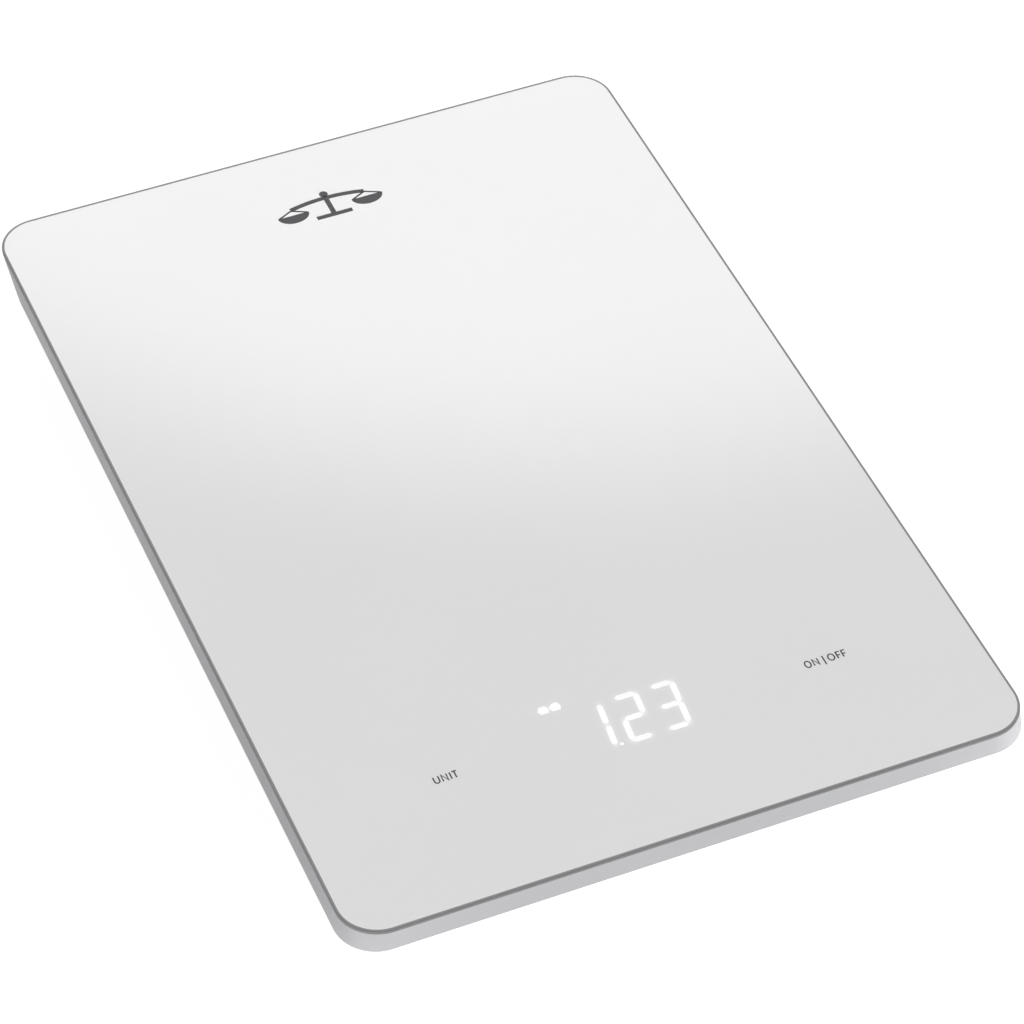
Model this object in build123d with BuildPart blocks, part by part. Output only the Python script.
from build123d import *
import math
import os

# Kitchen scale with a glass platform on a slim plastic housing.
# Millimetres, +Z up. The origin is on the table, under the middle of the scale.
# The display and the keys are at the front, towards -Y.

# ---------------------------------------------------------------- driving dimensions
scale_width = 160.0
scale_length = 240.0
corner_radius = 9.7
swept_radius = 24.0          # lower edge of the rim at the two back corners
front_flare = 0.7            # how far the rim's lower edge spreads on each side, at its front end
back_flare = 0.15            # and at its back end
end_reach = 0.45             # how far the rim's lower edge stands out at the front and the back
overall_height = 19.5

glass_thickness = 0.7
glass_bevel = 0.1
film_thickness = 0.1
film_inset = 1.2
rim_depth = 6.1              # from the top of the glass down to the rim's lower edge
rim_wall = 2.0
deck_thickness = 1.8
flange_gap = 0.2             # between the rim's wall and the lower shell's flange
flange_recess = 0.3          # how far the flange sits above the rim's lower edge
flange_thickness = 1.5

floor_height = 2.5           # underside of the pan above the table
floor_thickness = 1.8
pan_inset_top = 4.0
pan_inset_bottom = 9.0
pan_radius_top = 19.0
pan_radius_bottom = 15.0
wall_thickness = 2.0
shell_screws = [(-64, -45), (64, -45), (-64, 50), (64, 50), (0, -104), (0, 105)]

foot_x = 52.0
foot_y = 91.0
foot_travel = 0.4
foot_radius = 11.0
foot_hole_radius = 11.5
collar_radius = 14.0
pad_radius = 9.0
pad_height = 2.6
disc_bottom = 1.6
disc_top = 3.8
stem_radius = 3.5
stud_radius = 1.9

cell_size = 24.0
cell_thickness = 1.6
cell_bar = 3.5
cell_bottom = 6.0
tongue_width = 7.0
tongue_reach = 4.5           # how far the tongue runs past the foot's axis
clamp_size = 31.0
clamp_window = 17.0
clamp_thickness = 1.2
clamp_screw_offset = 13.2

board_thickness = 1.6
board_bottom = 9.2
board_width = 62.0
board_front = -98.0
board_back = -62.0
wing_width = 100.0
wing_front = -91.0
wing_back = -79.0
board_screw_x = 28.0
board_screw_front = -94.5
board_screw_back = -65.0

display_y = -84.6
display_width = 46.0
display_length = 24.0
reflector_height = 7.2
diffuser_thickness = 0.3
window_margin = 1.5
window_width = 46.6
window_length = 24.6
key_hole_radius = 4.6
digit_pitch = 8.73
first_digit_x = -17.6
digit_half_height = 6.3
digit_half_width = 2.35
digit_slant = 6.0
segment_width = 1.15
unit_lamp_x = -16.2
unit_lamp_y = -75.5
key_left_x = -44.6
key_right_x = 45.9
key_y = -85.5
touch_spring_radius = 3.5
touch_spring_turns = 5

bay_y = 10.0
bay_length = 52.0
bay_width = 34.5
bay_wall = 1.6
roof_thickness = 0.8
ledge_length = 67.0
ledge_width = 47.0
ledge_thickness = 1.6
door_length = 60.0
door_width = 38.0
door_thickness = 1.6
door_gap = 0.15
door_radius = 3.0
hook_x = 18.0
hook_width = 6.0
hook_reach = 2.4
hook_thickness = 1.2
hook_lift = 0.2

shell_joint = 14.0           # where the two rows of screw bosses meet
shell_head_radius = 2.5
shell_head_depth = 3.0
shell_shaft_radius = 1.18
rim_fillet = 0.5
rib_height = 1.4

label_length = 64.0
label_width = 30.0
label_depth = 0.25
label_y = -48.0

cell_diameter = 10.3
cell_pitch = 11.1
cell_body_length = 43.4
button_radius = 1.9
button_length = 1.0
contact_thickness = 0.4
contact_bump = 1.0
contact_spring_wire = 0.6

sensor_cable_diameter = 1.4
battery_lead_diameter = 1.3
bend_share = 0.45            # share of the shorter run that a bend takes up

# ---------------------------------------------------------------- worked-out levels
glass_bottom = overall_height - glass_thickness
deck_top = glass_bottom - film_thickness
deck_bottom = deck_top - deck_thickness
rim_bottom = overall_height - rim_depth
flange_bottom = rim_bottom + flange_recess
flange_top = flange_bottom + flange_thickness
floor_top = floor_height + floor_thickness
pan_slope = (pan_inset_bottom - pan_inset_top) / (flange_bottom - floor_height)
cell_top = cell_bottom + cell_thickness
clamp_top = cell_top + clamp_thickness
board_top = board_bottom + board_thickness
reflector_top = board_top + reflector_height
door_top = floor_height + door_thickness
battery_z = door_top + 0.3 + cell_diameter / 2
roof_top = deck_bottom - 0.3
roof_bottom = roof_top - roof_thickness
hinge_y = bay_y + door_width / 2

places = {
    "front_left": (-1, -1),
    "front_right": (1, -1),
    "back_left": (-1, 1),
    "back_right": (1, 1),
}

os.makedirs("parts", exist_ok=True)


def finish(piece, label):
    """Label a finished piece and write its STEP file."""
    piece.part.label = label
    export_step(piece.part, f"parts/{label}.step")


def rounded_outline(inset, front_radius, back_radius):
    """Outline of the scale moved inwards, with its own radius at the front and back corners."""
    with BuildSketch() as outline:
        Rectangle(scale_width - 2 * inset, scale_length - 2 * inset)
        fillet(outline.vertices().group_by(Axis.Y)[0], front_radius)
        fillet(outline.vertices().group_by(Axis.Y)[-1], back_radius)
    return outline.sketch


def rim_outline():
    """Lower edge of the rim: a little wider at the front, swept in at the back corners."""
    front_x = scale_width / 2 + front_flare
    back_x = scale_width / 2 + back_flare
    end = scale_length / 2 + end_reach
    with BuildSketch() as outline:
        with BuildLine():
            Polyline((-front_x, -end), (front_x, -end), (back_x, end), (-back_x, end), close=True)
        make_face()
        fillet(outline.vertices().group_by(Axis.Y)[0], corner_radius)
        fillet(outline.vertices().group_by(Axis.Y)[-1], swept_radius)
    return outline.sketch


def foot_centre(place):
    """Axis of the foot at one corner."""
    side_x, side_y = places[place]
    return side_x * foot_x, side_y * foot_y


def clamp_screw_points(place):
    """The two screws of a sensor clamp, on the diagonal that the board leaves free."""
    side_x, side_y = places[place]
    x, y = foot_centre(place)
    reach = clamp_screw_offset
    return [
        (x + side_x * reach, y - side_y * reach),
        (x - side_x * reach, y + side_y * reach),
    ]


board_screw_points = [
    (side * board_screw_x, y)
    for side in (-1, 1)
    for y in (board_screw_front, board_screw_back)
]
clamp_points = [point for place in places for point in clamp_screw_points(place)]
foot_points = [foot_centre(place) for place in places]
battery_rows = [bay_y - cell_pitch, bay_y, bay_y + cell_pitch]


# ---------------------------------------------------------------- glass platform
def make_glass_platform():
    with BuildPart() as glass_platform:
        with BuildSketch(Plane.XY.offset(glass_bottom)):
            add(rounded_outline(0, corner_radius, corner_radius))
        extrude(amount=glass_thickness)
        rims = glass_platform.faces().filter_by(Axis.Z).edges()
        chamfer(rims, glass_bevel)
    finish(glass_platform, "glass_platform")


def make_adhesive_film():
    """Film that bonds the glass to the deck, open over the display and the keys."""
    with BuildPart() as adhesive_film:
        with BuildSketch(Plane.XY.offset(deck_top)):
            add(rounded_outline(film_inset, corner_radius - film_inset, corner_radius - film_inset))
            with Locations((0, display_y)):
                Rectangle(window_width, window_length, mode=Mode.SUBTRACT)
            with Locations((key_left_x, key_y), (key_right_x, key_y)):
                Circle(key_hole_radius, mode=Mode.SUBTRACT)
        extrude(amount=film_thickness)
    finish(adhesive_film, "adhesive_film")


# ---------------------------------------------------------------- upper shell
def make_top_housing():
    boss_radius = 3.2
    pilot_radius = 1.2
    pilot_depth = 3.6
    with BuildPart() as top_housing:
        # rim, swept in at the back corners from the glass down to its lower edge
        with BuildSketch(Plane.XY.offset(rim_bottom)):
            add(rim_outline())
        with BuildSketch(Plane.XY.offset(deck_top)):
            add(rounded_outline(0, corner_radius, corner_radius))
        loft(ruled=True)
        fillet(top_housing.faces().sort_by(Axis.Z)[0].edges(), rim_fillet)
        with BuildSketch(Plane.XY.offset(rim_bottom)):
            add(rounded_outline(rim_wall, corner_radius - rim_wall, swept_radius - rim_wall))
        extrude(amount=deck_bottom - rim_bottom, mode=Mode.SUBTRACT)
        # stiffening ribs under the deck, between the board and the battery bay
        with BuildSketch(Plane.XY.offset(deck_bottom)):
            with Locations((0, -50), (0, 45), (0, 80)):
                Rectangle(scale_width - 2 * rim_wall, 1.2)
            with Locations((-60, 0), (60, 0)):
                Rectangle(1.2, 175)
        extrude(amount=-rib_height)
        # openings for the display and the two touch springs
        with BuildSketch(Plane.XY.offset(deck_top)):
            with Locations((0, display_y)):
                Rectangle(window_width, window_length)
            with Locations((key_left_x, key_y), (key_right_x, key_y)):
                Circle(key_hole_radius)
        extrude(amount=-deck_thickness, mode=Mode.SUBTRACT)
        # bosses that take the shell screws
        with BuildSketch(Plane.XY.offset(shell_joint)):
            with Locations(*shell_screws):
                Circle(boss_radius)
        extrude(amount=deck_bottom - shell_joint)
        with BuildSketch(Plane.XY.offset(shell_joint)):
            with Locations(*shell_screws):
                Circle(pilot_radius)
        extrude(amount=pilot_depth, mode=Mode.SUBTRACT)
    finish(top_housing, "top_housing")


# ---------------------------------------------------------------- lower shell
def make_bottom_housing():
    pan_fillet = 1.8
    inner_inset_top = pan_inset_top - pan_slope * flange_thickness + wall_thickness
    inner_inset_bottom = pan_inset_bottom - pan_slope * floor_thickness + wall_thickness * 0.6
    flange_inset = rim_wall + flange_gap
    boss_radius = 2.5
    board_boss_radius = 3.0
    post_radius = 3.5
    pilot_radius = 0.8
    pilot_depth = 3.4
    with BuildPart() as bottom_housing:
        # pan and the flange that closes the rim
        with BuildSketch(Plane.XY.offset(floor_height)):
            add(rounded_outline(pan_inset_bottom, pan_radius_bottom, pan_radius_bottom))
        with BuildSketch(Plane.XY.offset(flange_bottom)):
            add(rounded_outline(pan_inset_top, pan_radius_top, pan_radius_top))
        loft(ruled=True)
        fillet(bottom_housing.faces().sort_by(Axis.Z)[0].edges(), pan_fillet)
        with BuildSketch(Plane.XY.offset(flange_bottom)):
            add(rounded_outline(flange_inset, corner_radius - flange_inset, swept_radius - flange_inset))
        extrude(amount=flange_thickness)
        with BuildSketch(Plane.XY.offset(floor_top)):
            add(rounded_outline(inner_inset_bottom, pan_radius_bottom - 1, pan_radius_bottom - 1))
        with BuildSketch(Plane.XY.offset(flange_top)):
            add(rounded_outline(inner_inset_top, pan_radius_top - 1, pan_radius_top - 1))
        loft(ruled=True, mode=Mode.SUBTRACT)
        # posts for the shell screws
        with BuildSketch(Plane.XY.offset(floor_top)):
            with Locations(*shell_screws):
                Circle(post_radius)
        extrude(amount=shell_joint - 0.1 - floor_top)
        # stiffening ribs on the floor, clear of the cables
        with BuildSketch(Plane.XY.offset(floor_top)):
            with Locations((0, bay_y + 42), (0, bay_y + 62)):
                Rectangle(56, 1.2)
            with Locations((-14, bay_y + 52), (14, bay_y + 52)):
                Rectangle(1.2, 20)
        extrude(amount=4)
        # battery bay and the frame around the door
        with BuildSketch(Plane.XY.offset(floor_top)):
            with Locations((0, bay_y)):
                RectangleRounded(ledge_length, ledge_width, door_radius + 2)
        extrude(amount=ledge_thickness)
        with BuildSketch(Plane.XY.offset(floor_top)):
            with Locations((0, bay_y)):
                Rectangle(bay_length + 2 * bay_wall, bay_width + 2 * bay_wall)
        extrude(amount=roof_top - floor_top)
        with BuildSketch(Plane.XY.offset(floor_height)):
            with Locations((0, bay_y)):
                Rectangle(bay_length, bay_width)
        extrude(amount=roof_bottom - floor_height, mode=Mode.SUBTRACT)
        with BuildSketch(Plane.XY.offset(floor_height)):
            with Locations((0, bay_y)):
                RectangleRounded(door_length + 2 * door_gap, door_width + 2 * door_gap, door_radius)
        extrude(amount=floor_thickness, mode=Mode.SUBTRACT)
        # two dividing ribs between the cells
        with BuildSketch(Plane.XY.offset(roof_bottom)):
            with Locations((0, bay_y - cell_pitch / 2), (0, bay_y + cell_pitch / 2)):
                Rectangle(bay_length - 14, 0.5)
        extrude(amount=-2.6)
        # slots for the door's hooks
        slot_length = ledge_width / 2 - bay_width / 2 + 1
        with BuildSketch(Plane.XY.offset(floor_top)):
            with Locations(*[(side * hook_x, hinge_y + 0.6) for side in (-1, 1)]):
                Rectangle(hook_width + 0.8, slot_length)
        extrude(amount=3.2, mode=Mode.SUBTRACT)
        # slots where the solder tabs of the two end contacts leave the bay
        with BuildSketch(Plane.XY.offset(battery_z - 2.5)):
            with Locations((bay_length / 2 + 1, battery_rows[0]), (-bay_length / 2 - 1, battery_rows[2])):
                Rectangle(4, 3.6)
        extrude(amount=3, mode=Mode.SUBTRACT)
        # clearance notch and finger recess for the door's latch
        with BuildSketch(Plane.XY.offset(floor_height)):
            with Locations((0, bay_y - door_width / 2 - 2)):
                SlotOverall(18, 9)
        extrude(amount=0.9, mode=Mode.SUBTRACT)
        # collars under the load cells, bosses for the clamp screws and the board
        with BuildSketch(Plane.XY.offset(floor_top)):
            with Locations(*foot_points):
                Circle(collar_radius)
        extrude(amount=cell_bottom - floor_top)
        with BuildSketch(Plane.XY.offset(floor_top)):
            with Locations(*clamp_points):
                Circle(boss_radius)
        extrude(amount=cell_top - floor_top)
        with BuildSketch(Plane.XY.offset(floor_top)):
            with Locations(*board_screw_points):
                Circle(board_boss_radius)
        extrude(amount=board_bottom - floor_top)
        with BuildSketch(Plane.XY.offset(floor_height)):
            with Locations(*foot_points):
                Circle(foot_hole_radius)
        extrude(amount=cell_bottom - floor_height, mode=Mode.SUBTRACT)
        with BuildSketch(Plane.XY.offset(cell_top)):
            with Locations(*clamp_points):
                Circle(pilot_radius)
        extrude(amount=-pilot_depth, mode=Mode.SUBTRACT)
        with BuildSketch(Plane.XY.offset(board_bottom)):
            with Locations(*board_screw_points):
                Circle(pilot_radius)
        extrude(amount=-pilot_depth, mode=Mode.SUBTRACT)
        # shallow recess for the rating label, which stays blank
        with BuildSketch(Plane.XY.offset(floor_height)):
            with Locations((0, label_y)):
                RectangleRounded(label_length, label_width, 2)
        extrude(amount=label_depth, mode=Mode.SUBTRACT)
        # countersunk seats for the shell screws
        with BuildSketch(Plane.XY.offset(floor_height)):
            with Locations(*shell_screws):
                Circle(shell_head_radius + 0.3)
        extrude(amount=shell_head_depth + 0.3, mode=Mode.SUBTRACT)
        with BuildSketch(Plane.XY.offset(floor_height)):
            with Locations(*shell_screws):
                Circle(shell_shaft_radius + 0.3)
        extrude(amount=shell_joint - floor_height, mode=Mode.SUBTRACT)
        # shallow ring around each foot on the underside
        with BuildSketch(Plane.XY.offset(floor_height)):
            with Locations(*foot_points):
                Circle(foot_hole_radius + 2.4)
                Circle(foot_hole_radius + 1.2, mode=Mode.SUBTRACT)
        extrude(amount=0.5, mode=Mode.SUBTRACT)
    finish(bottom_housing, "bottom_housing")


# ---------------------------------------------------------------- feet and load cells
def make_rubber_pad(place):
    x, y = foot_centre(place)
    with BuildPart() as rubber_pad:
        with BuildSketch(Plane((x, y, 0))):
            Circle(pad_radius)
        extrude(amount=pad_height)
        fillet(rubber_pad.faces().sort_by(Axis.Z)[0].edges(), 0.5)
        with BuildSketch(Plane((x, y, 0))):
            Circle(6.2)
            Circle(5.2, mode=Mode.SUBTRACT)
        extrude(amount=0.4, mode=Mode.SUBTRACT)
    finish(rubber_pad, f"rubber_pad_{place}")


def make_foot_holder(place):
    x, y = foot_centre(place)
    with BuildPart() as foot_holder:
        with BuildSketch(Plane((x, y, disc_bottom))):
            Circle(foot_radius)
        extrude(amount=disc_top - disc_bottom)
        fillet(foot_holder.faces().sort_by(Axis.Z)[0].edges(), 0.4)
        with BuildSketch(Plane((x, y, disc_bottom))):
            Circle(pad_radius)
        extrude(amount=pad_height - disc_bottom, mode=Mode.SUBTRACT)
        # four ribs that stiffen the stem, and the stem with its stud
        with BuildSketch(Plane((x, y, disc_top))):
            Rectangle(2 * foot_radius - 6, 1.2)
            Rectangle(1.2, 2 * foot_radius - 6)
        extrude(amount=1.0)
        with BuildSketch(Plane((x, y, disc_top))):
            Circle(stem_radius)
        extrude(amount=cell_bottom - disc_top)
        with BuildSketch(Plane((x, y, cell_bottom))):
            Circle(stud_radius)
        extrude(amount=clamp_top - 0.3 - cell_bottom)
    finish(foot_holder, f"foot_holder_{place}")


def make_foot_clip(place):
    x, y = foot_centre(place)
    with BuildPart() as foot_clip:
        with BuildSketch(Plane((x, y, cell_top + 0.05))):
            Circle(stem_radius)
            Circle(stud_radius + 0.01, mode=Mode.SUBTRACT)
        extrude(amount=0.7)
    finish(foot_clip, f"foot_clip_{place}")


def make_load_cell(place):
    x, y = foot_centre(place)
    side_y = places[place][1]
    window = cell_size - 2 * cell_bar
    tongue_length = window / 2 + tongue_reach
    with BuildPart() as load_cell:
        with BuildSketch(Plane((x, y, cell_bottom))):
            RectangleRounded(cell_size, cell_size, 3)
            RectangleRounded(window, window, 1.5, mode=Mode.SUBTRACT)
            with Locations((0, -side_y * (window / 2 - tongue_length / 2))):
                Rectangle(tongue_width, tongue_length)
            with Locations((0, -side_y * (window / 2 - 1.2))):
                Rectangle(tongue_width + 5, 2.6)
            Circle(stud_radius + 0.15, mode=Mode.SUBTRACT)
        extrude(amount=cell_thickness)
    finish(load_cell, f"load_cell_{place}")


def make_strain_gauges():
    with BuildPart() as strain_gauges:
        for place, (side_x, side_y) in places.items():
            x, y = foot_centre(place)
            with BuildSketch(Plane((x, y - side_y * 6.3, cell_top))):
                RectangleRounded(5.6, 3.9, 1.0)
            extrude(amount=1.35)
    finish(strain_gauges, "strain_gauges")


def make_sensor_clamp(place):
    x, y = foot_centre(place)
    side_y = places[place][1]
    with BuildPart() as sensor_clamp:
        with BuildSketch(Plane((x, y, cell_top))):
            RectangleRounded(clamp_size, clamp_size, 2.5)
            RectangleRounded(clamp_window, clamp_window, 2, mode=Mode.SUBTRACT)
            with Locations((0, -side_y * clamp_size / 2)):
                Rectangle(3.2, clamp_size - clamp_window + 2, mode=Mode.SUBTRACT)
        extrude(amount=clamp_thickness)
        with BuildSketch(Plane.XY.offset(cell_top)):
            with Locations(*clamp_screw_points(place)):
                Circle(1.15)
        extrude(amount=clamp_thickness, mode=Mode.SUBTRACT)
    finish(sensor_clamp, f"sensor_clamp_{place}")


def make_screws(label, points, seat):
    """Self-tapping pan-head screws with a cross recess, standing on one level."""
    shaft_radius = 0.78
    head_radius = 1.9
    head_height = 1.2
    shaft_length = 4.4
    with BuildPart() as screws:
        with BuildSketch(Plane.XY.offset(seat)):
            with Locations(*points):
                Circle(head_radius)
        extrude(amount=head_height)
        fillet(screws.faces().filter_by(Axis.Z).group_by(Axis.Z)[-1].edges(), 0.5)
        with BuildSketch(Plane.XY.offset(seat)):
            with Locations(*points):
                Circle(shaft_radius)
        extrude(amount=-shaft_length)
        with BuildSketch(Plane.XY.offset(seat + head_height)):
            with Locations(*points):
                Rectangle(2.0, 0.4)
                Rectangle(0.4, 2.0)
        extrude(amount=-0.6, mode=Mode.SUBTRACT)
    finish(screws, label)


def make_shell_screws():
    """Six screws that join the two shells from underneath."""
    seat = floor_height + shell_head_depth + 0.3
    with BuildPart() as shell_screw_set:
        with BuildSketch(Plane.XY.offset(seat)):
            with Locations(*shell_screws):
                Circle(shell_head_radius)
        extrude(amount=-1.8)
        fillet(shell_screw_set.faces().filter_by(Axis.Z).group_by(Axis.Z)[0].edges(), 0.6)
        with BuildSketch(Plane.XY.offset(seat)):
            with Locations(*shell_screws):
                Circle(shell_shaft_radius)
        extrude(amount=shell_joint + 3.2 - seat)
        with BuildSketch(Plane.XY.offset(seat - 1.8)):
            with Locations(*shell_screws):
                Rectangle(2.8, 0.6)
                Rectangle(0.6, 2.8)
        extrude(amount=0.9, mode=Mode.SUBTRACT)
    finish(shell_screw_set, "shell_screws")


# ---------------------------------------------------------------- board and display
def make_main_board():
    with BuildPart() as main_board:
        with BuildSketch(Plane.XY.offset(board_bottom)):
            with Locations((0, (board_front + board_back) / 2)):
                Rectangle(board_width, board_back - board_front)
            with Locations((0, (wing_front + wing_back) / 2)):
                Rectangle(wing_width, wing_back - wing_front)
            with Locations(*board_screw_points):
                Circle(1.15, mode=Mode.SUBTRACT)
        extrude(amount=board_thickness)
    finish(main_board, "main_board")


def digit_origins():
    """Centres of the four digits, left to right."""
    return [(first_digit_x + i * digit_pitch, display_y) for i in range(4)]


def segment_frames():
    """Centre, turn and length of each of the seven segments of one slanted digit."""
    lean = math.tan(math.radians(digit_slant))
    half = digit_half_height / 2
    flat = 2 * digit_half_width - segment_width
    tall = digit_half_height - segment_width
    frames = [(lean * level, level, 0, flat) for level in (-digit_half_height, 0, digit_half_height)]
    for level in (-half, half):
        for side in (-1, 1):
            frames.append((side * digit_half_width + lean * level, level, 90 - digit_slant, tall))
    return frames


def make_display_reflector():
    with BuildPart() as display_reflector:
        with BuildSketch(Plane.XY.offset(board_top)):
            with Locations((0, display_y)):
                Rectangle(display_width, display_length)
        extrude(amount=reflector_height)
        with BuildSketch(Plane.XY.offset(board_top)):
            for origin in digit_origins():
                for x, y, turn, length in segment_frames():
                    with Locations(Location((origin[0] + x, origin[1] + y, 0), (0, 0, turn))):
                        Rectangle(length, segment_width)
                with Locations((origin[0] + 3.4, origin[1] - digit_half_height)):
                    Circle(segment_width / 2)
            with Locations((unit_lamp_x - 1.45, unit_lamp_y), (unit_lamp_x + 1.45, unit_lamp_y)):
                Rectangle(2.2, 1.7)
        extrude(amount=reflector_height, mode=Mode.SUBTRACT)
    finish(display_reflector, "display_reflector")


def make_segment_leds():
    """Small light emitting chips on the board, one in each light well."""
    with BuildPart() as segment_leds:
        with BuildSketch(Plane.XY.offset(board_top)):
            for origin in digit_origins():
                for x, y, turn, length in segment_frames():
                    with Locations(Location((origin[0] + x, origin[1] + y, 0), (0, 0, turn))):
                        Rectangle(1.6, 0.8)
            with Locations((unit_lamp_x - 1.45, unit_lamp_y), (unit_lamp_x + 1.45, unit_lamp_y)):
                Rectangle(1.6, 0.8)
        extrude(amount=0.5)
    finish(segment_leds, "segment_leds")


def make_display_diffuser():
    margin = window_margin + 0.15
    with BuildPart() as display_diffuser:
        with BuildSketch(Plane.XY.offset(reflector_top)):
            with Locations((0, display_y)):
                Rectangle(display_width - 2 * margin, display_length - 2 * margin)
        extrude(amount=diffuser_thickness)
    finish(display_diffuser, "display_diffuser")


def make_display_gasket():
    with BuildPart() as display_gasket:
        with BuildSketch(Plane.XY.offset(reflector_top)):
            with Locations((0, display_y)):
                Rectangle(display_width, display_length)
                Rectangle(
                    display_width - 2 * window_margin,
                    display_length - 2 * window_margin,
                    mode=Mode.SUBTRACT,
                )
        extrude(amount=glass_bottom - reflector_top)
    finish(display_gasket, "display_gasket")


def make_touch_spring(label, x):
    """Coil spring that carries the touch signal from the board up to the glass."""
    wire = 0.3
    rise = glass_bottom - board_top - 2 * wire
    start = board_top + wire
    with BuildPart() as touch_spring:
        with BuildLine(Plane((x, key_y, start))) as coil:
            Helix(pitch=rise / touch_spring_turns, height=rise, radius=touch_spring_radius)
        with BuildSketch(Plane(origin=coil.line @ 0, z_dir=coil.line % 0)):
            Circle(wire - 0.01)
        sweep(is_frenet=True)
    finish(touch_spring, label)


def make_controller_chip():
    chip_z = board_bottom
    with BuildPart() as controller_chip:
        with BuildSketch(Plane((0, -80, chip_z - 0.2))):
            Rectangle(10, 10)
        extrude(amount=-1.4)
        chamfer(controller_chip.faces().sort_by(Axis.Z)[0].edges(), 0.3)
        with BuildSketch(Plane((0, -80, chip_z))):
            for turn in (0, 90):
                with Locations(Location((0, 0, 0), (0, 0, turn))):
                    with GridLocations(0, 1.2, 1, 8):
                        Rectangle(12.6, 0.45)
        extrude(amount=-0.25)
    finish(controller_chip, "controller_chip")


def make_board_components():
    """Chip resistors, capacitors and driver transistors under the board."""
    with BuildPart() as board_components:
        with BuildSketch(Plane.XY.offset(board_bottom)):
            with Locations((-19, -80), (19, -80)):
                with GridLocations(3.2, 4.4, 3, 4):
                    Rectangle(2.0, 1.25)
        extrude(amount=-0.6)
        with BuildSketch(Plane.XY.offset(board_bottom)):
            with Locations((0, -91)):
                with GridLocations(6.0, 1, 5, 1):
                    Rectangle(2.9, 1.6)
        extrude(amount=-1.0)
        with BuildSketch(Plane.XY.offset(board_bottom)):
            with Locations((-10, -67.5), (10, -67.5)):
                Circle(2.4)
        extrude(amount=-3.2)
    finish(board_components, "board_components")


plug_depth = 6.5
plug_height = 3.6
plug_y = board_back - 1.0 - plug_depth / 2
plug_z = board_top + plug_height / 2
sensor_plug_x = {"front_left": -20.0, "back_left": -10.0, "back_right": 10.0, "front_right": 20.0}


def make_plugs(label, positions, width):
    """Board connectors in a row, open towards the back of the scale."""
    with BuildPart() as plugs:
        with BuildSketch(Plane.XY.offset(board_top)):
            with Locations(*[(x, plug_y) for x in positions]):
                Rectangle(width, plug_depth)
        extrude(amount=plug_height)
        chamfer(plugs.faces().filter_by(Axis.Z).group_by(Axis.Z)[-1].edges(), 0.3)
    finish(plugs, label)


# ---------------------------------------------------------------- batteries and contacts
def battery_direction(row):
    """Cells lie head to tail: the outer two point to +X, the middle one to -X."""
    return -1 if row == 1 else 1


def make_battery(row):
    side = battery_direction(row)
    y = battery_rows[row]
    tip = side * (bay_length / 2 - contact_thickness - contact_bump)
    outward = Plane(origin=(tip, y, battery_z), z_dir=(-side, 0, 0))
    with BuildPart() as battery:
        with BuildSketch(outward):
            Circle(button_radius)
        extrude(amount=button_length)
        with BuildSketch(outward.offset(button_length)):
            Circle(cell_diameter / 2)
        extrude(amount=cell_body_length)
        fillet(battery.edges().filter_by(GeomType.CIRCLE).group_by(SortBy.LENGTH)[-1], 0.6)
    finish(battery, f"battery_{row + 1}")


def make_contact(label, side, rows, tab_row=None):
    """Stamped contact in one end of the bay: a plate with a bump, a coil spring, or both."""
    wall_x = side * bay_length / 2
    inward = Plane(origin=(wall_x, 0, 0), x_dir=(0, 1, 0), z_dir=(-side, 0, 0))
    turn = 1 if inward.y_dir.Z > 0 else -1
    centre = sum(battery_rows[row] for row in rows) / len(rows)
    span = (len(rows) - 1) * cell_pitch + 8.4
    reach = bay_length - contact_bump - contact_thickness - button_length - cell_body_length
    with BuildPart() as contact:
        with BuildSketch(inward):
            with Locations((centre, turn * battery_z)):
                RectangleRounded(span, 8.0, 1.2)
        extrude(amount=contact_thickness)
        for row in rows:
            y = battery_rows[row]
            if battery_direction(row) == side:
                with BuildSketch(inward.offset(contact_thickness)):
                    with Locations((y, turn * battery_z)):
                        Circle(2.2)
                with BuildSketch(inward.offset(contact_thickness + contact_bump)):
                    with Locations((y, turn * battery_z)):
                        Circle(1.3)
                loft()
            else:
                wire = contact_spring_wire / 2
                free = reach - contact_thickness - wire
                base = (wall_x - side * contact_thickness, y, battery_z)
                with BuildLine() as coil:
                    Helix(free / 4, free, 3.6, center=base, direction=(-side, 0, 0), cone_angle=-12)
                with BuildSketch(Plane(origin=coil.line @ 0, z_dir=coil.line % 0)):
                    Circle(wire)
                sweep(is_frenet=True)
        if tab_row is not None:
            with BuildSketch(inward):
                with Locations((battery_rows[tab_row], turn * (battery_z - 1.0))):
                    Rectangle(3.0, contact_thickness)
            extrude(amount=-(bay_wall + 1.2))
    finish(contact, label)


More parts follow.
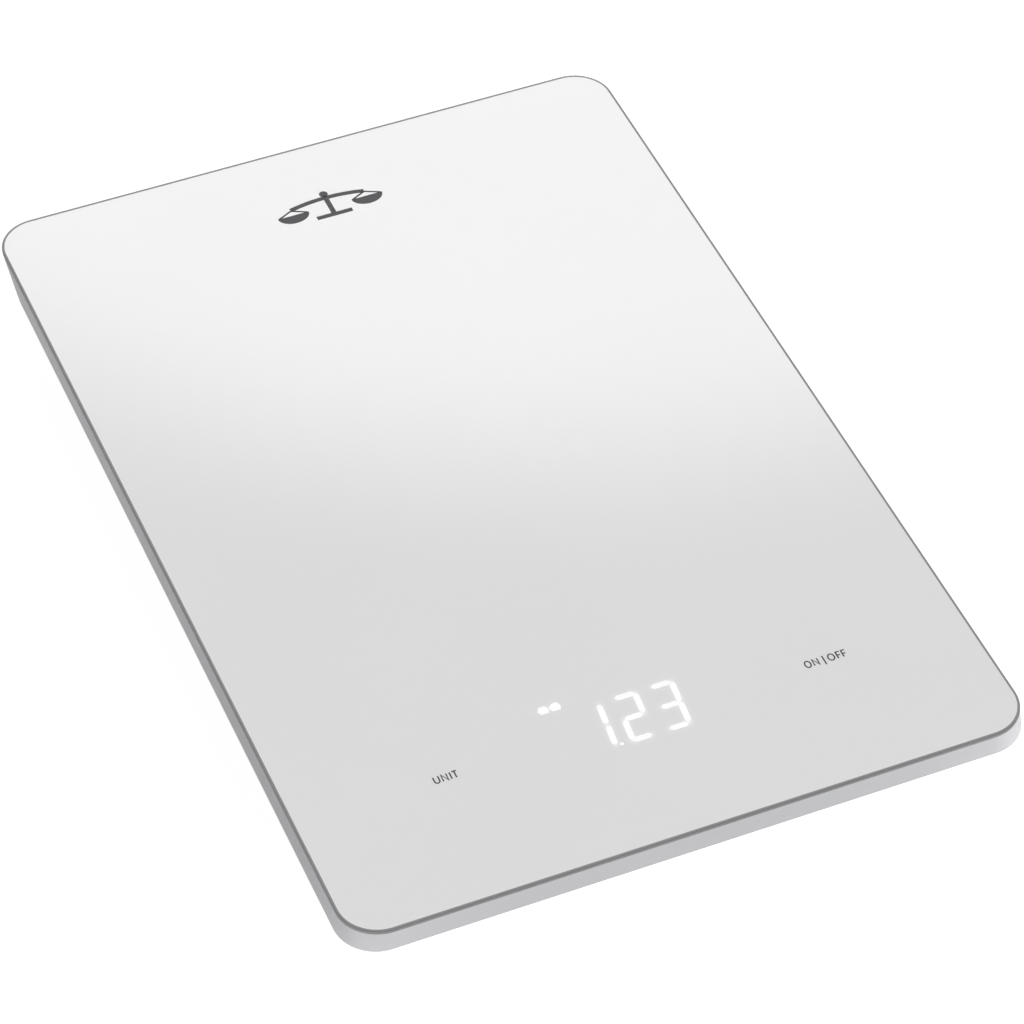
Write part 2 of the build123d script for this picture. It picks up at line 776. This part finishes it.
# ---------------------------------------------------------------- battery door
def make_battery_door():
    rib_pitch = 2.2
    with BuildPart() as battery_door:
        with BuildSketch(Plane((0, bay_y, floor_height))):
            RectangleRounded(door_length, door_width, door_radius - door_gap)
        extrude(amount=door_thickness)
        # two hooks that reach over the housing's floor at the hinge side
        for side in (-1, 1):
            with BuildSketch(Plane((side * hook_x, hinge_y - 1.2, door_top))):
                Rectangle(hook_width, 2.4)
            extrude(amount=floor_top + hook_lift + hook_thickness - door_top)
            with BuildSketch(Plane((side * hook_x, hinge_y + hook_reach / 2 - 1.2, floor_top + hook_lift))):
                Rectangle(hook_width, hook_reach + 2.4)
            extrude(amount=hook_thickness)
        # sprung latch tongue, freed by a slot on each side
        front = bay_y - door_width / 2
        with BuildSketch(Plane.XY.offset(floor_height)):
            with Locations((-6.2, front + 3.5), (6.2, front + 3.5)):
                Rectangle(0.9, 7)
        extrude(amount=door_thickness, mode=Mode.SUBTRACT)
        # grip ribs beside the latch, sunk into the face of the door
        with BuildSketch(Plane((0, front + 12, floor_height))):
            with GridLocations(1, rib_pitch, 1, 4):
                SlotOverall(13, 0.9)
        extrude(amount=0.5, mode=Mode.SUBTRACT)
    finish(battery_door, "battery_door")


# ---------------------------------------------------------------- cables
def bend_radii(points):
    """The largest bend that each corner of a route has room for."""
    corners = [Vector(*point) for point in points]
    radii = []
    for before, corner, after in zip(corners, corners[1:], corners[2:]):
        arriving = corner - before
        leaving = after - corner
        turn = math.radians(arriving.get_angle(leaving))
        shorter = min(arriving.length, leaving.length)
        radii.append(bend_share * shorter / math.tan(turn / 2))
    return radii


def make_cable(label, points, diameter):
    radii = bend_radii(points)
    with BuildPart() as cable:
        with BuildLine() as route:
            FilletPolyline(*points, radius=radii)
        with BuildSketch(Plane(origin=route.line @ 0, z_dir=route.line % 0)):
            Circle(diameter / 2)
        sweep()
    length = route.wires()[0].length
    ratio = cable.part.volume / (math.pi * diameter ** 2 / 4 * length)
    print(label, "length", round(length, 1), "smallest bend", round(min(radii), 1), "ratio", round(ratio, 4))
    finish(cable, label)


def cable_start(place):
    """Where a sensor cable leaves the sealed strain gauge, towards the middle of the scale."""
    x, y = foot_centre(place)
    return x, y - places[place][1] * 8.25


def make_sensor_cables():
    plug_back = plug_y + plug_depth / 2
    level = cell_top + 0.75
    for side, name in ((-1, "left"), (1, "right")):
        x, y = cable_start(f"front_{name}")
        end = abs(sensor_plug_x[f"front_{name}"])
        route = [
            (side * abs(x), y, level),
            (side * abs(x), y + 10, level),
            (side * 50.0, y + 22, 6.4),
            (side * 43.5, y + 33, 5.6),
            (side * 33.0, y + 37, 7.0),
            (side * 23.5, y + 33, 10.2),
            (side * end, plug_back + 8, plug_z),
            (side * end, plug_back, plug_z),
        ]
        make_cable(f"sensor_cable_front_{name}", route, sensor_cable_diameter)
        x, y = cable_start(f"back_{name}")
        end = abs(sensor_plug_x[f"back_{name}"])
        route = [
            (side * abs(x), y, level),
            (side * abs(x), y - 12, level),
            (side * 49.5, y - 30, 6.0),
            (side * 46.5, y - 52, 5.5),
            (side * 44.0, y - 76, 5.6),
            (side * 39.0, y - 98, 5.5),
            (side * 27.0, y - 115, 6.2),
            (side * 15.0, y - 126, 9.2),
            (side * end, plug_back + 9, plug_z),
            (side * end, plug_back, plug_z),
        ]
        make_cable(f"sensor_cable_back_{name}", route, sensor_cable_diameter)


def make_battery_leads():
    plug_back = plug_y + plug_depth / 2
    tab_end = bay_length / 2 + bay_wall + 1.2
    level = battery_z - 1.0
    positive_y = battery_rows[0]
    negative_y = battery_rows[2]
    red_route = [
        (tab_end, positive_y, level),
        (tab_end + 6.0, positive_y, level),
        (tab_end + 9.7, positive_y - 6, level - 0.4),
        (tab_end + 7.5, positive_y - 16, level - 0.9),
        (tab_end - 2.0, positive_y - 26, level - 1.0),
        (14.0, positive_y - 35, level - 0.4),
        (4.5, plug_back + 13, 11.2),
        (1.3, plug_back + 6, plug_z),
        (1.3, plug_back, plug_z),
    ]
    black_route = [
        (-tab_end, negative_y, level),
        (-tab_end - 6.0, negative_y, level),
        (-tab_end - 9.7, negative_y - 6, level - 0.4),
        (-tab_end - 9.3, negative_y - 18, level - 1.0),
        (-tab_end - 6.5, negative_y - 34, level - 1.2),
        (-tab_end + 1.0, negative_y - 48, level - 1.0),
        (-15.0, negative_y - 58, level - 0.3),
        (-4.8, plug_back + 13, 11.2),
        (-1.3, plug_back + 6, plug_z),
        (-1.3, plug_back, plug_z),
    ]
    make_cable("battery_lead_positive", red_route, battery_lead_diameter)
    make_cable("battery_lead_negative", black_route, battery_lead_diameter)


# ---------------------------------------------------------------- the whole scale
make_glass_platform()
make_adhesive_film()
make_top_housing()
make_bottom_housing()
make_shell_screws()
for corner in places:
    make_rubber_pad(corner)
    make_foot_holder(corner)
    make_foot_clip(corner)
    make_load_cell(corner)
    make_sensor_clamp(corner)
make_strain_gauges()
make_screws("clamp_screws", clamp_points, clamp_top)
make_screws("board_screws", board_screw_points, board_top)
make_main_board()
make_display_reflector()
make_segment_leds()
make_display_diffuser()
make_display_gasket()
make_touch_spring("touch_spring_left", key_left_x)
make_touch_spring("touch_spring_right", key_right_x)
make_controller_chip()
make_board_components()
make_plugs("sensor_plugs", sensor_plug_x.values(), 6.0)
make_plugs("battery_plug", [0], 5.0)
for battery_row in range(3):
    make_battery(battery_row)
make_contact("positive_contact", 1, [0], tab_row=0)
make_contact("negative_contact", -1, [2], tab_row=2)
make_contact("bridge_contact_left", -1, [0, 1])
make_contact("bridge_contact_right", 1, [1, 2])
make_battery_door()
make_sensor_cables()
make_battery_leads()
